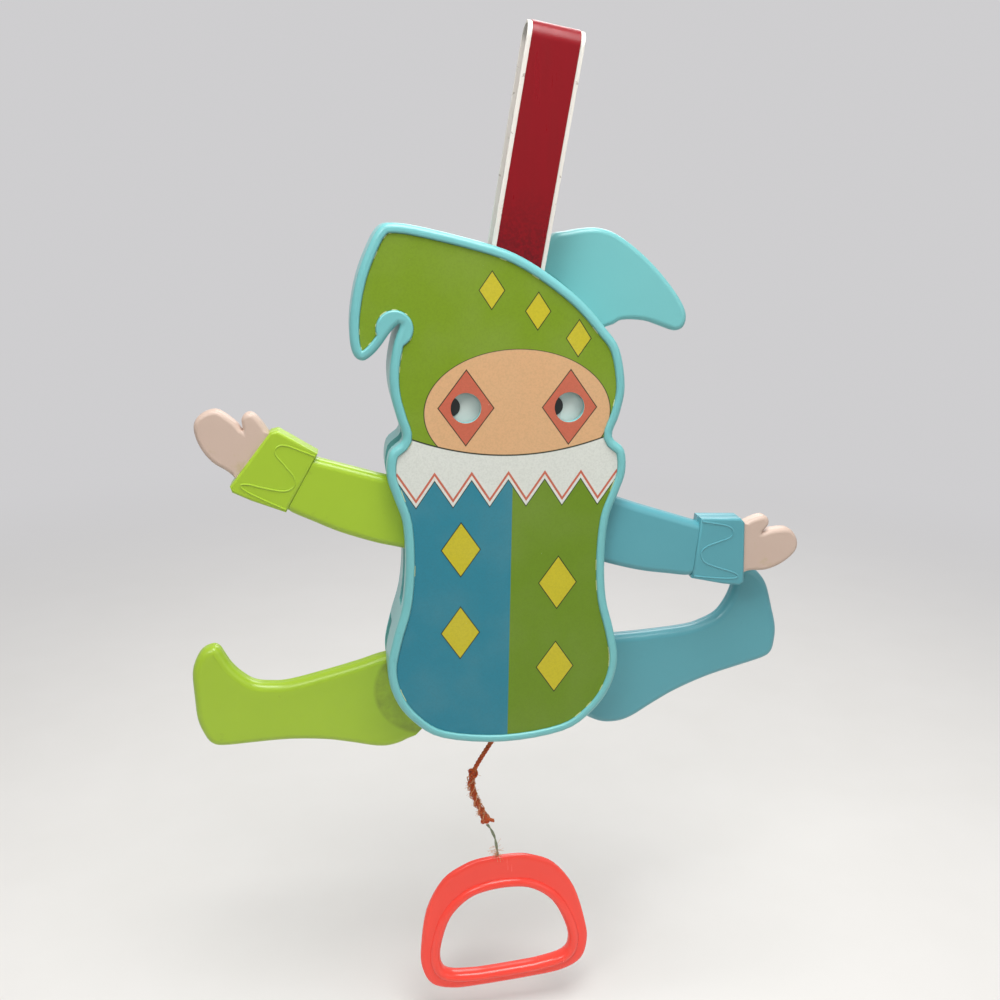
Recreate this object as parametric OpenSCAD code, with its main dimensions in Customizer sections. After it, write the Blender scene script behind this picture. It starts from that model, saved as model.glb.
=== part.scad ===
// Pull string jumping jack: a flat jester figure whose arms, legs and eyes move when the ring is pulled.
// X runs to the right, Z up and Y from the front to the back. The origin is the point of the strap
// that a hook bears on. Inside the modules, x and z are measured from the bottom of the shell,
// and depth is measured backwards from the face that the label lies on.

/* [Shell] */
// Height of the shell from its bottom to the top of the cap
shell_h = 250; // [200:1:320]
// Half of the shell's width at the hips
shell_half_w = 57; // [48:1:70]
// Width of the raised rim round the label, as a share of the shell's half width
rim_share = 0.0737; // [0.055:0.001:0.085]
// How far the rim stands proud of the label
rim_proud = 1.2; // [0.6:0.1:2]
// Thickness of the label
label_t = 0.4; // [0.2:0.1:0.8]
// Thickness of the front panel behind the label
panel_t = 2.6; // [2:0.1:3.4]
// Thickness of the side wall
wall_t = 2.4; // [1.8:0.1:3]
// Thickness of the back panel
back_t = 2.5; // [2:0.1:3.5]
// Thickness of the horn at the back
horn_t = 11; // [7:0.5:14]

/* [Limbs] */
// Thickness of an arm
arm_t = 10; // [8:0.5:12]
// Length of an arm from its shoulder to its finger tips
arm_l = 118; // [90:1:140]
// Thickness of a leg
leg_t = 10; // [8:0.5:12]
// Length of a leg from its hip to its sole
leg_l = 110; // [90:1:130]
// How far the cuff stands proud of the sleeve
cuff_proud = 0.8; // [0.4:0.1:1.4]
// Angle of the left arm above the level
left_arm_deg = 18.5; // [0:0.5:30]
// Angle of the right arm above the level
right_arm_deg = -15; // [-20:0.5:20]
// Angle of the left leg above the level
left_leg_deg = -2.5; // [-10:0.5:20]
// Angle of the right leg above the level
right_leg_deg = 16.5; // [0:0.5:20]
// Radius of the pivot pins
pivot_r = 3; // [2:0.1:4]
// Radius of an arm's crank
arm_crank_r = 13; // [11:0.5:14]
// Radius of a leg's crank
leg_crank_r = 20; // [17:0.5:21]

/* [Strap] */
// Width of the strap
strap_w = 25.4; // [18:0.2:32]
// Thickness of the strap's core
strap_core_t = 1.2; // [0.8:0.1:2]
// Thickness of the facing on each side
strap_facing_t = 0.4; // [0.2:0.1:0.8]
// Width of the edge that the facing leaves bare
strap_edge_w = 2; // [1:0.1:4]
// Inner radius of the loop's bend
strap_bend_r = 6; // [5:0.2:7]
// Length of the strap above its pin
strap_l = 112; // [80:1:150]
// How far the strap leans to the right
strap_lean = 9; // [0:0.5:14]

/* [Ring and cord] */
// Width of the pull ring
ring_w = 94; // [75:1:110]
// Height of the pull ring
ring_h = 81; // [65:1:95]
// Thickness of the pull ring
ring_t = 9; // [7:0.2:12]
// How far the ring hangs askew
ring_tilt = 5; // [0:0.5:10]
// How far below the shell the top of the ring hangs
ring_drop = 83; // [65:1:100]
// Diameter of the pull cord
cord_d = 2.6; // [2:0.1:3.2]
// Diameter of the thread that ties the ring on
thread_d = 1.4; // [1:0.1:2]

/* [Eyes] */
// Radius of an eye window
window_r = 7; // [5:0.2:8]
// Radius of a pupil
pupil_r = 4.6; // [3.5:0.1:5.5]
// How far the pupils look to the left
glance = 6.9; // [4:0.1:8]

/* [Pull] */
// Travel of the pull below its rest place
pull_down = 13.5; // [12:0.5:14]
// Travel of the pull above its rest place
pull_up = 5.5; // [4:0.5:6]

/* [Hidden] */
$fn = 64;

// Clearances and the overrun that every cut takes
run_gap = 0.06;
seat_gap = 0.02;
slide_gap = 0.3;
side_gap = 0.2;
slot_gap = 0.6;
over = 1;

// Layers from the front to the back
panel_back = label_t + panel_t;
eye_plate_t = 1.2;
pupil_t = 0.4;
pupil_gap = 0.5;
pupil_front = panel_back + slide_gap + pupil_gap;
eye_front = pupil_front + pupil_t;
eye_back = eye_front + eye_plate_t;
washer_t = 0.6;
arm_gap = 1;
arm_front = eye_back + washer_t + arm_gap;
arm_back = arm_front + arm_t;
yoke_t = 1.9;
yoke_front = arm_back + washer_t;
yoke_back = yoke_front + yoke_t;
bar_t = 2.5;
bar_back = yoke_back + bar_t;
leg_front = bar_back;
leg_back = leg_front + leg_t;
back_front = leg_back + side_gap + washer_t + side_gap + washer_t;
back_back = back_front + back_t;

// Places in the shell, as shares of its half width and height
shoulder_share = [0.579, 0.45];
shoulder_x = shoulder_share[0] * shell_half_w;
shoulder_z = shoulder_share[1] * shell_h;
hip_share = [0.737, 0.104];
hip_x = hip_share[0] * shell_half_w;
hip_z = hip_share[1] * shell_h;
eye_shares = [-0.353, 0.489];
eye_places = [for (e = eye_shares) e * shell_half_w];
eye_high_share = 0.678;
eye_z = eye_high_share * shell_h;
eye_pivot_share = 0.416;
eye_pivot_z = eye_pivot_share * shell_h;
drive_share = 0.536;
drive_z = drive_share * shell_h;
guide_shares = [0.24, 0.352];
bar_shares = [0.08, 0.584];
// The rim narrows with the shell, whichever of its two sizes is small
slim_share = 0.228;
rim_w = rim_share * min(shell_half_w, slim_share * shell_h);

// Outline of the shell: the right half of the body upwards, then the cap from right to left
body_shares = [[0, 0], [0.53, 0.016], [0.79, 0.056], [0.945, 0.108], [1, 0.168], [0.95, 0.232],
    [0.87, 0.3], [0.842, 0.38], [0.86, 0.46], [0.93, 0.51], [0.985, 0.552], [0.965, 0.596]];
neck_share = [0.858, 0.622];
cap_shares = [[0.912, 0.664], [0.945, 0.716], [0.885, 0.784], [0.755, 0.824], [0.555, 0.872],
    [0.31, 0.914], [0.08, 0.945], [-0.15, 0.965], [-0.59, 0.989], [-0.885, 1], [-1.02, 0.992],
    [-1.13, 0.947], [-1.205, 0.899], [-1.25, 0.844], [-1.255, 0.8], [-1.225, 0.773], [-1.16, 0.764],
    [-1.09, 0.773], [-1.02, 0.79], [-0.94, 0.815], [-0.87, 0.828], [-0.92, 0.792], [-0.955, 0.744],
    [-0.945, 0.7], [-0.9, 0.66]];
// The broad round of rim where the cap's tail hooks under: its place and radius, as shares
hook_share = [-0.912, 0.82];
hook_r_share = 0.144;
hook_place = [hook_share[0] * shell_half_w, hook_share[1] * shell_h];
hook_r = hook_r_share * min(shell_half_w, slim_share * shell_h);
// Outline of the horn at the back, as shares of the same sizes
horn_shares = [[0.3, 0.93], [0.4, 0.981], [0.54, 0.991], [0.7, 0.997], [0.82, 0.996], [0.955, 0.985],
    [1.145, 0.956], [1.34, 0.916], [1.505, 0.872], [1.58, 0.84], [1.565, 0.815], [1.485, 0.807],
    [1.37, 0.815], [1.21, 0.826], [1.02, 0.827], [0.9, 0.815], [0.5, 0.8]];

// Outline of a sleeve that points to the right, as shares of the arm's length
sleeve_shares = [[-0.16, 0.03], [-0.13, 0.052], [-0.08, 0.09], [0, 0.138], [0.1, 0.138], [0.27, 0.127],
    [0.5, 0.117], [0.57, 0.112], [0.6, 0.07], [0.6, -0.07], [0.575, -0.115], [0.47, -0.132],
    [0.35, -0.145], [0.21, -0.146], [0.11, -0.138], [0, -0.13], [-0.08, -0.09], [-0.13, -0.052], [-0.16, -0.03]];
cuff_shares = [[0.53, 0.14], [0.7, 0.18], [0.725, 0.165], [0.81, -0.085], [0.795, -0.105],
    [0.72, -0.115], [0.578, -0.122]];
hand_shares = [[0.66, 0.06], [0.71, 0.135], [0.75, 0.178], [0.8, 0.21], [0.829, 0.205], [0.84, 0.178],
    [0.825, 0.138], [0.86, 0.16], [0.93, 0.183], [0.972, 0.165], [1, 0.125], [0.995, 0.08],
    [0.956, 0.025], [0.9, -0.016], [0.84, -0.033], [0.79, -0.05], [0.7, -0.05]];
// The tongue of the hand, inside the cuff
tongue_shares = [[0.63, 0.06], [0.7, 0.085], [0.8, 0.085], [0.84, -0.02], [0.66, -0.045]];

// Outline of a leg that points to the right, as shares of the leg's length
leg_shares = [[-0.24, 0.03], [-0.2, 0.055], [-0.1, 0.1], [0, 0.14], [0.14, 0.13], [0.255, 0.1],
    [0.41, 0.065], [0.57, 0.035], [0.65, 0.035], [0.725, 0.05], [0.78, 0.092], [0.82, 0.141],
    [0.846, 0.192], [0.864, 0.228], [0.893, 0.242], [0.938, 0.226], [0.972, 0.182], [0.994, 0.115],
    [0.997, 0], [0.995, -0.11], [0.972, -0.19], [0.945, -0.234], [0.894, -0.252], [0.755, -0.252],
    [0.6, -0.253], [0.44, -0.271], [0.32, -0.299], [0.2, -0.332], [0.118, -0.333], [0.033, -0.298],
    [-0.06, -0.2], [-0.12, -0.09], [-0.2, -0.055], [-0.24, -0.03]];

// Outline of the pull ring from its top down the right side, as shares of its width and height
ring_shares = [[0.09, 0], [0.2, -0.03], [0.33, -0.12], [0.44, -0.33], [0.495, -0.62], [0.5, -0.78],
    [0.455, -0.92], [0.34, -0.985], [0.17, -1]];
ring_hole_shares = [[0.07, -0.235], [0.19, -0.275], [0.305, -0.4], [0.375, -0.6], [0.39, -0.75],
    [0.345, -0.845], [0.2, -0.878], [0.08, -0.883]];

// A point on a smooth curve through four points, and a closed curve through a list
curve_steps = 4;
function bend(a, b, c, d, t) = 0.5 * (2 * b + (c - a) * t + (2 * a - 5 * b + 4 * c - d) * t * t
    + (3 * b - a - 3 * c + d) * t * t * t);
function smooth(p) = let (n = len(p)) [for (i = [0 : n - 1], k = [0 : curve_steps - 1])
    bend(p[(i + n - 1) % n], p[i], p[(i + 1) % n], p[(i + 2) % n], k / curve_steps)];
function sized(p, w, h) = [for (q = p) [q[0] * w, q[1] * h]];
function flipped(p) = [for (i = [len(p) - 1 : -1 : 0]) [-p[i][0], p[i][1]]];
function unit(v) = v / norm(v);
// A closed outline moved inwards by a distance, for an outline that runs anticlockwise. Where a tip is
// too sharp for it, the points that would come too near the outline are left out.
keep_share = 0.97;
function inset(p, by) = let (n = len(p), moved = [for (i = [0 : n - 1])
    let (way = unit(p[(i + 1) % n] - p[(i + n - 1) % n])) p[i] + by * [-way[1], way[0]]])
    [for (q = moved) if (min([for (r = p) norm(q - r)]) >= keep_share * abs(by)) q];

shell_shares = concat(body_shares, [neck_share], cap_shares, flipped([neck_share]),
    flipped([for (i = [1 : len(body_shares) - 1]) body_shares[i]]));
shell_line = smooth(sized(shell_shares, shell_half_w, shell_h));
label_gap = 0.15;
rim_line = inset(shell_line, rim_w);
label_line = inset(shell_line, rim_w + label_gap);
inner_line = inset(shell_line, wall_t);
horn_line = smooth(sized(horn_shares, shell_half_w, shell_h));

// Limits of the limbs, from the crank travel that the pull gives them
arm_top_deg = 50;
leg_top_deg = 35;
arm_low_deg = right_arm_deg - (arm_top_deg - right_arm_deg) * pull_up / pull_down;
leg_low_deg = left_leg_deg - (leg_top_deg - left_leg_deg) * pull_up / pull_down;
arm_half_share = 0.148;
arm_half_w = arm_half_share * arm_l;

// Slots in the side walls
slot_top_share = 0.62;
slot_low_share = 0.8;
arm_slot_top = shoulder_z + arm_half_w / cos(arm_top_deg)
    + (shell_half_w - shoulder_x) * tan(arm_top_deg) * slot_top_share;
arm_slot_low = shoulder_z - arm_half_w / cos(arm_low_deg)
    + (shell_half_w - shoulder_x) * tan(arm_low_deg) * slot_low_share;
leg_slot_shares = [0.16, 0.3];
leg_slot_in = hip_x - leg_l * leg_slot_shares[0];
leg_slot_top = hip_z + leg_l * leg_slot_shares[1];

// Pins, bosses and washers
boss_wall = 3;
boss_r = pivot_r + boss_wall;
pin_grip = 8;
crank_pin_r = 2;
crank_grip = 4;

// How far the hand and its tongue stand back from the faces of the arm
tongue_inset = 2.5;
hand_inset = 1;

// Pull bar and yokes
bar_half_w = 4.5;
bar_low = bar_shares[0] * shell_h;
bar_top = bar_shares[1] * shell_h;
yoke_h = 6;
yoke_side_gap = 1;
yoke_half_w = shoulder_x - boss_r - yoke_side_gap;
yoke_gap = 0.4;
arm_yoke_z = shoulder_z - arm_crank_r * sin(arm_top_deg) + crank_pin_r + yoke_gap + pull_down;
leg_yoke_z = hip_z - leg_crank_r * sin(leg_top_deg) + crank_pin_r + yoke_gap + pull_down;
rivet_r = 1.5;
foot_t = 5;
foot_h = 4;
cord_depth = bar_back + foot_t / 2;
knot_r = 2.4;
guide_half_w = 9;
guide_h = 6;
lower_guide_z = guide_shares[0] * shell_h;
upper_guide_z = guide_shares[1] * shell_h;
guide_lip = 1.2;

// Eye plate and its drive
eye_disc_rs = [16, 11.5];
lever_half_w = 7;
lever_tail = 8;
brow_h = 16;
eye_pin_r = 2;
eye_pin_head_r = 4;
eye_pin_head_t = 0.8;
drive_pin_r = 1.5;
drive_gap = 0.25;
eye_rad_per_mm = 0.01;

// Screws
screw_shares = [[-0.63, 0.272], [0.63, 0.272], [-0.525, 0.816], [0.49, 0.816]];
screw_places = sized(screw_shares, shell_half_w, shell_h);
screw_r = 1.5;
screw_head_r = 3.2;
screw_head_t = 1.5;
screw_grip = 12;
post_r = 4.5;

// Strap
strap_anchor_share = [0.021, 0.888];
strap_anchor = [strap_anchor_share[0] * shell_half_w, strap_anchor_share[1] * shell_h];
strap_pin_r = 2;
strap_tail = 7;
strap_t = strap_core_t + 2 * strap_facing_t;
strap_depth = panel_back + slide_gap + strap_t + strap_bend_r + eye_plate_t;
strap_mid_r = strap_bend_r + strap_facing_t;

// Eyelet, cord and ring
eyelet_r = 4;
eyelet_slack = 0.4;
eyelet_bore_r = cord_d / 2 + eyelet_slack;
eyelet_flange = 1.2;
eyelet_lip_t = 0.8;
cord_sides = 8;
cord_shares = [[0, -0.013], [0, -0.056], [-0.001, -0.101], [-0.031, -0.162], [-0.077, -0.239],
    [-0.127, -0.331], [-0.155, -0.415], [-0.148, -0.493], [-0.12, -0.577], [-0.08, -0.667]];
thread_shares = [[-0.046, -0.754], [-0.024, -0.789], [0.001, -0.845], [0.014, -0.901], [0.0225, -0.958],
    [0.025, -0.99]];
cord_route = sized(cord_shares, ring_drop, ring_drop);
thread_route = sized(thread_shares, ring_drop, ring_drop);
cord_knot_r = 3;
cord_knot_share = [-0.062, -0.71];
cord_knot_place = ring_drop * cord_knot_share;
ring_top_share = [0.025, -1];
ring_top = ring_drop * ring_top_share;

// The point that a hook bears on
hang_l = strap_l - strap_t;
hang = [strap_anchor[0] + hang_l * sin(strap_lean), strap_depth,
    strap_anchor[1] + hang_l * cos(strap_lean)];

// A flat shape in x and z, as a plate between two depths
module plate(front, back) {
    translate([0, back, 0]) rotate([90, 0, 0]) linear_extrude(back - front) children();
}
module pin(x, z, r, front, back) {
    translate([x, back, z]) rotate([90, 0, 0]) cylinder(r = r, h = back - front);
}
// A limb drawn pointing to the right, set on its pivot; side is -1 for the left
module limb(side, x, z, deg) {
    translate([side * x, 0, z]) mirror([side < 0 ? 1 : 0, 0, 0]) rotate([0, -deg, 0]) children();
}
module shoulders(side) {
    limb(side, shoulder_x, shoulder_z, side < 0 ? left_arm_deg : right_arm_deg) children();
}
module hips(side) {
    limb(side, hip_x, hip_z, side < 0 ? left_leg_deg : right_leg_deg) children();
}
// The frame of the strap, with its pin at the origin
module strap_place() {
    translate([strap_anchor[0], strap_depth, strap_anchor[1]]) rotate([0, strap_lean, 0]) children();
}

// The field that the label lies in: an outline less the broad round of rim
module label_field(line, gap) difference() {
    polygon(line);
    translate(hook_place) circle(hook_r + gap);
}

module front_shell() color("#7AC4BE") difference() {
    union() {
        difference() {
            plate(-rim_proud, back_front) polygon(shell_line);
            plate(-rim_proud - over, label_t) label_field(rim_line, 0);
            plate(panel_back, back_front + over) polygon(inner_line);
        }
        for (side = [-1, 1]) {
            pin(side * shoulder_x, shoulder_z, boss_r, panel_back, arm_front - side_gap - washer_t);
            pin(side * hip_x, hip_z, boss_r, panel_back, leg_front - side_gap - washer_t);
        }
        for (p = screw_places) pin(p[0], p[1], post_r, panel_back, back_front);
    }
    for (side = [-1, 1]) {
        pin(side * shoulder_x, shoulder_z, pivot_r + seat_gap, panel_back, arm_front);
        pin(side * hip_x, hip_z, pivot_r + seat_gap, leg_front - pin_grip, leg_front);
        translate([side > 0 ? shoulder_x : -shell_half_w - over, arm_front - slot_gap, arm_slot_low])
            cube([shell_half_w - shoulder_x + over, arm_t + 2 * slot_gap, arm_slot_top - arm_slot_low]);
        translate([side > 0 ? leg_slot_in : -shell_half_w - over, leg_front - slot_gap, -over])
            cube([shell_half_w - leg_slot_in + over, back_front - leg_front + slot_gap + over,
                leg_slot_top + over]);
    }
    for (x = eye_places) pin(x, eye_z, window_r, -over, panel_back + over);
    for (p = screw_places) pin(p[0], p[1], screw_r + seat_gap, back_front - screw_grip, back_front + over);
    pin(0, eye_pivot_z, eye_pin_r + seat_gap, label_t, panel_back + over);
    strap_place() translate([-strap_w / 2 - slide_gap, -strap_bend_r - strap_t - slide_gap, 0])
        cube([strap_w + 2 * slide_gap, 2 * (strap_bend_r + strap_t + slide_gap), strap_l]);
    translate([0, cord_depth, -over]) cylinder(r = eyelet_r + seat_gap, h = wall_t + 2 * over);
}

module back_shell() color("#75B9B8") difference() {
    union() {
        plate(back_front, back_back) union() {
            polygon(shell_line);
            polygon(horn_line);
        }
        plate(back_back - horn_t, back_front) difference() {
            polygon(horn_line);
            polygon(inset(shell_line, -slide_gap));
        }
        for (side = [-1, 1]) {
            pin(side * shoulder_x, shoulder_z, boss_r, arm_back + side_gap + washer_t, back_front);
            pin(side * hip_x, hip_z, boss_r, leg_back + side_gap + washer_t, back_front);
        }
    }
    for (side = [-1, 1]) {
        pin(side * shoulder_x, shoulder_z, pivot_r + seat_gap, arm_back, arm_back + pin_grip);
        pin(side * hip_x, hip_z, pivot_r + seat_gap, leg_back, back_back - over);
    }
    for (p = screw_places) {
        pin(p[0], p[1], screw_r + slide_gap, back_front - over, back_back + over);
        pin(p[0], p[1], screw_head_r + slide_gap, back_back - screw_head_t, back_back + over);
    }
}

module front_label() color("#5F7D25") plate(0, label_t) difference() {
    label_field(label_line, label_gap);
    for (x = eye_places) translate([x, eye_z]) circle(window_r);
}

// A band of the strap in side view: two legs and the bend that joins them, from one radius to another
module strap_band(inner_r, outer_r, width) {
    translate([-width / 2, 0, 0]) rotate([90, 0, 90]) linear_extrude(width) difference() {
        union() {
            translate([0, strap_l - strap_bend_r - strap_t]) circle(outer_r);
            translate([-outer_r, -strap_tail])
                square([2 * outer_r, strap_l - strap_bend_r - strap_t + strap_tail]);
        }
        translate([0, strap_l - strap_bend_r - strap_t]) circle(inner_r);
        translate([-inner_r, -strap_tail - over])
            square([2 * inner_r, strap_l - strap_bend_r - strap_t + strap_tail + over]);
    }
}
module strap_bore() pin(0, 0, strap_pin_r + seat_gap, -strap_depth, strap_depth);
module strap_core() color("#E8E6E0") strap_place() difference() {
    strap_band(strap_mid_r, strap_mid_r + strap_core_t, strap_w);
    strap_bore();
}
module strap_facing() color("#8D1B25") strap_place() difference() {
    union() {
        strap_band(strap_bend_r, strap_mid_r, strap_w - 2 * strap_edge_w);
        strap_band(strap_mid_r + strap_core_t, strap_bend_r + strap_t, strap_w - 2 * strap_edge_w);
    }
    strap_bore();
}
module strap_pin() color("#B8BABC")
    pin(strap_anchor[0], strap_anchor[1], strap_pin_r, panel_back, back_front);

module shoulder_pin(side) color("#B8BABC")
    pin(side * shoulder_x, shoulder_z, pivot_r, panel_back, arm_back + pin_grip);
module hip_pin(side) color("#B8BABC")
    pin(side * hip_x, hip_z, pivot_r, leg_front - pin_grip, back_back - over);

module washer(x, z, front) difference() {
    pin(x, z, boss_r, front, front + washer_t);
    pin(x, z, pivot_r + run_gap, front - over, front + washer_t + over);
}
module shoulder_washers() color("#D9D6CB") for (side = [-1, 1]) {
    washer(side * shoulder_x, shoulder_z, arm_front - side_gap - washer_t);
    washer(side * shoulder_x, shoulder_z, arm_back + side_gap);
}
module hip_washers() color("#D9D6CB") for (side = [-1, 1]) {
    washer(side * hip_x, hip_z, leg_front - side_gap - washer_t);
    washer(side * hip_x, hip_z, leg_back + side_gap);
}

module case_screws() color("#9A9C9E") for (p = screw_places) {
    pin(p[0], p[1], screw_r, back_front - screw_grip, back_back - screw_head_t);
    pin(p[0], p[1], screw_head_r, back_back - screw_head_t, back_back);
}

module cord_eyelet() color("#C9B26B") translate([0, cord_depth, 0]) difference() {
    union() {
        translate([0, 0, -eyelet_lip_t]) cylinder(r = eyelet_r + eyelet_flange, h = eyelet_lip_t);
        cylinder(r = eyelet_r, h = wall_t);
    }
    translate([0, 0, -over]) cylinder(r = eyelet_bore_r, h = wall_t + 2 * over);
}

module eye_pivot_pin() color("#B8BABC") {
    pin(0, eye_pivot_z, eye_pin_r, label_t, eye_back + side_gap);
    pin(0, eye_pivot_z, eye_pin_head_r, eye_back + side_gap, eye_back + side_gap + eye_pin_head_t);
}

module bar_guide(z) color("#E4E1D6") difference() {
    translate([-guide_half_w, yoke_back - slide_gap - guide_lip, z])
        cube([2 * guide_half_w, back_front - yoke_back + slide_gap + guide_lip, guide_h]);
    translate([-bar_half_w - slide_gap, yoke_back - slide_gap, z - over])
        cube([2 * (bar_half_w + slide_gap), bar_t + 2 * slide_gap, guide_h + 2 * over]);
}

module pull_bar() color("#E4E1D6") difference() {
    union() {
        translate([-bar_half_w, yoke_back, bar_low]) cube([2 * bar_half_w, bar_t, bar_top - bar_low]);
        translate([-bar_half_w, bar_back, bar_low]) cube([2 * bar_half_w, foot_t, foot_h]);
    }
    for (z = [arm_yoke_z, leg_yoke_z])
        pin(0, z + yoke_h / 2, rivet_r + seat_gap, yoke_front - over, bar_back + over);
    pin(0, drive_z, drive_pin_r + seat_gap, yoke_back - over, bar_back + over);
    translate([0, cord_depth, bar_low - over]) cylinder(r = cord_d / 2 + seat_gap, h = foot_h + 2 * over);
}
module yoke(z) color("#E4E1D6") difference() {
    translate([-yoke_half_w, yoke_front, z]) cube([2 * yoke_half_w, yoke_t, yoke_h]);
    pin(0, z + yoke_h / 2, rivet_r + seat_gap, yoke_front - over, yoke_back + over);
}
module yoke_rivets() color("#B8BABC") for (z = [arm_yoke_z, leg_yoke_z])
    pin(0, z + yoke_h / 2, rivet_r, yoke_front, bar_back);
module eye_drive_pin() color("#B8BABC") pin(0, drive_z, drive_pin_r, eye_front, bar_back);

// The cam slot: where the drive pin stands in the rocking plate as the pull goes through its travel
function cam(s) = let (a = eye_rad_per_mm * s * 180 / PI, r = drive_z - s - eye_pivot_z)
    [-r * sin(a), r * cos(a)];
cam_steps = 12;
cam_line = [for (i = [0 : cam_steps])
    cam(-pull_up - over + i * (pull_up + pull_down + 2 * over) / cam_steps)];
cam_half_w = drive_pin_r + drive_gap;
module eye_plate() color("#DDE3DC") plate(eye_front, eye_back) difference() {
    union() {
        for (i = [0, 1]) translate([eye_places[i], eye_z]) circle(eye_disc_rs[i]);
        translate([eye_places[0], eye_z - brow_h / 2]) square([eye_places[1] - eye_places[0], brow_h]);
        translate([-lever_half_w, eye_pivot_z - lever_tail])
            square([2 * lever_half_w, eye_z - eye_pivot_z + lever_tail]);
    }
    translate([0, eye_pivot_z]) {
        circle(eye_pin_r + run_gap);
        polygon(concat([for (p = cam_line) p - [cam_half_w, 0]],
            [for (i = [cam_steps : -1 : 0]) cam_line[i] + [cam_half_w, 0]]));
        for (i = [0, cam_steps]) translate(cam_line[i]) circle(cam_half_w);
    }
}
module eye_pupils() color("#0A0C0B") for (x = eye_places)
    pin(x - glance, eye_z, pupil_r, pupil_front, eye_front);

// A sleeve's outline with its cuff, less the pivot's bore and the pocket for the hand's tongue
module arm_half(front, back, bore_r) difference() {
    union() {
        plate(front, back)
            polygon(smooth(sized(sleeve_shares, arm_l, arm_l)));
        plate(front == arm_front ? front - cuff_proud : front,
            front == arm_front ? back : back + cuff_proud) polygon(sized(cuff_shares, arm_l, arm_l));
    }
    pin(0, 0, bore_r, front - over, back + over);
    plate(arm_front + tongue_inset - seat_gap, arm_back - tongue_inset + seat_gap)
        polygon(inset(sized(tongue_shares, arm_l, arm_l), seat_gap));
}
module arm_front_half(side) color(side < 0 ? "#94B63E" : "#5C9CA4") shoulders(side)
    arm_half(arm_front, arm_front + arm_t / 2, pivot_r + run_gap);
module arm_back_half(side) color(side < 0 ? "#94B63E" : "#5C9CA4") shoulders(side) difference() {
    arm_half(arm_front + arm_t / 2, arm_back, pivot_r + run_gap);
    pin(-arm_crank_r, 0, crank_pin_r + seat_gap, arm_back - crank_grip, arm_back + over);
}
module hand(side) color("#C5AE9C") shoulders(side) {
    plate(arm_front + tongue_inset, arm_back - tongue_inset) polygon(sized(tongue_shares, arm_l, arm_l));
    plate(arm_front + hand_inset, arm_back - hand_inset) difference() {
        polygon(smooth(sized(hand_shares, arm_l, arm_l)));
        polygon(sized(cuff_shares, arm_l, arm_l));
    }
}
module arm_crank_pin(side) color("#B8BABC") shoulders(side)
    pin(-arm_crank_r, 0, crank_pin_r, arm_back - crank_grip, yoke_back - side_gap);

module leg_half(front, back) difference() {
    plate(front, back) polygon(smooth(sized(leg_shares, leg_l, leg_l)));
    pin(0, 0, pivot_r + run_gap, front - over, back + over);
}
module leg_front_half(side) color(side < 0 ? "#94B63E" : "#5C9CA4") hips(side) difference() {
    leg_half(leg_front, leg_front + leg_t / 2);
    pin(-leg_crank_r, 0, crank_pin_r + seat_gap, leg_front - over, leg_front + crank_grip);
}
module leg_back_half(side) color(side < 0 ? "#94B63E" : "#5C9CA4") hips(side)
    leg_half(leg_front + leg_t / 2, leg_back);
module leg_crank_pin(side) color("#B8BABC") hips(side)
    pin(-leg_crank_r, 0, crank_pin_r, yoke_front + side_gap, leg_front + crank_grip);

// A round tube along points in x and z, at the cord's depth
function tube_ring(p, way, r) = [for (k = [0 : cord_sides - 1])
    let (a = 360 * k / cord_sides, across = [way[1], -way[0]])
    [p[0] + r * cos(a) * across[0], cord_depth + r * sin(a), p[1] + r * cos(a) * across[1]]];
module tube(route, d) {
    last = len(route) - 1;
    points = [for (i = [0 : last]) each tube_ring(route[i],
        i == 0 || i == last ? [0, -1] : unit(route[i + 1] - route[i - 1]), d / 2)];
    sides = [for (i = [0 : last - 1], k = [0 : cord_sides - 1])
        let (a = i * cord_sides + k, b = i * cord_sides + (k + 1) % cord_sides)
        each [[a, b, b + cord_sides], [a, b + cord_sides, a + cord_sides]]];
    fan = [for (k = [1 : cord_sides - 2]) each [[0, k + 1, k],
        [last * cord_sides, last * cord_sides + k, last * cord_sides + k + 1]]];
    polyhedron(points, concat(sides, fan));
}
module pull_cord_inner() color("#BD6D4F") translate([0, cord_depth, cord_route[0][1]])
    cylinder(d = cord_d, h = bar_low + foot_h - cord_route[0][1]);
module bar_knot() color("#BD6D4F") translate([0, cord_depth, bar_low + foot_h]) difference() {
    translate([0, 0, knot_r]) sphere(knot_r);
    translate([-knot_r, -knot_r, -over]) cube([2 * knot_r, 2 * knot_r, over]);
}
module pull_cord() color("#BD6D4F") tube(cord_route, cord_d);
module cord_knot() color("#A8553A")
    translate([cord_knot_place[0], cord_depth, cord_knot_place[1]]) sphere(cord_knot_r);
module tie_thread() color("#B4A480") tube(thread_route, thread_d);

function ring_line(p) = smooth(sized(concat(flipped(p), p), ring_w, ring_h));
module pull_ring() color("#F95348")
    translate([ring_top[0], cord_depth, ring_top[1]]) rotate([0, -ring_tilt, 0])
    plate(-ring_t / 2, ring_t / 2) difference() {
        polygon(ring_line(ring_shares));
        polygon(ring_line(ring_hole_shares));
    }

module hung() translate(-hang) children();

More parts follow.
